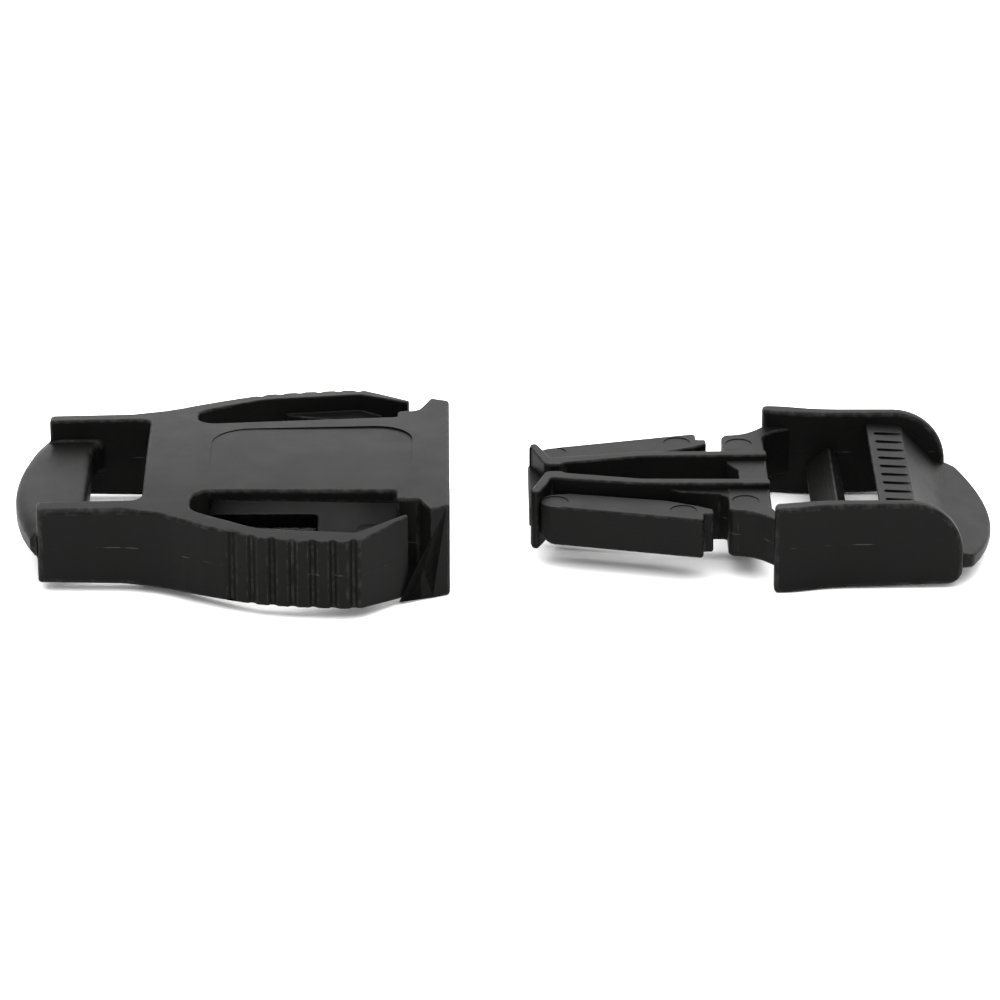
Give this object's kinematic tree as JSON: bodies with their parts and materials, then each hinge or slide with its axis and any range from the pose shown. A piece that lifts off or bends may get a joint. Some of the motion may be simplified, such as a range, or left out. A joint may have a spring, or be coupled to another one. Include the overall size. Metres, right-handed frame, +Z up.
{
  "type": "side release buckle",
  "caption": "Side release buckle for flat webbing, unfastened: a squeeze-arm socket with a strap bar and a pronged plug with a strap-adjusting lock.",
  "frame": {"origin": "middle of the buckle's bounding box, on the plane it rests on", "axes": "+X from the socket's strap bar towards the plug's tongue, +Z up, +Y to the back arm"},
  "size_m": [0.1262, 0.0496, 0.013],
  "materials": {
    "socket_plastic": "moulded black acetal, fine satin",
    "plug_plastic": "moulded black acetal, fine satin"
  },
  "bodies": {
    "socket": {"socket_body": "socket_plastic"},
    "arm_front": {"squeeze_arm_front": "socket_plastic"},
    "arm_back": {"squeeze_arm_back": "socket_plastic"},
    "plug": {"plug_frame": "plug_plastic"},
    "prong_front": {"prong_front": "plug_plastic"},
    "prong_back": {"prong_back": "plug_plastic"}
  },
  "joints": [
    {"name": "squeeze_front", "type": "hinge", "parent": "socket", "child": "arm_front", "pos_m": [-0.03935, -0.0179, 0.00625], "axis": [0, 0, 1], "range_deg": [0, 5.5], "stiffness_Nm_per_rad": 0.05},
    {"name": "squeeze_back", "type": "hinge", "parent": "socket", "child": "arm_back", "pos_m": [-0.03935, 0.0179, 0.00625], "axis": [0, 0, -1], "range_deg": [0, 5.5], "stiffness_Nm_per_rad": 0.05},
    {"name": "plug_slide", "type": "slide", "parent": "socket", "child": "plug", "axis": [-1, 0, 0], "range_m": [0, 0.0406]},
    {"name": "prong_flex_front", "type": "hinge", "parent": "plug", "child": "prong_front", "pos_m": [0.00655, -0.00761, 0.00625], "axis": [0, 0, 1], "range_deg": [0, 7]},
    {"name": "prong_flex_back", "type": "hinge", "parent": "plug", "child": "prong_back", "pos_m": [0.00655, 0.00761, 0.00625], "axis": [0, 0, -1], "range_deg": [0, 7]}
  ],
  "couplings": [
    {"joint": "prong_flex_front", "follows": "plug_slide", "rad_per_m": 3},
    {"joint": "prong_flex_back", "follows": "plug_slide", "rad_per_m": 3}
  ]
}
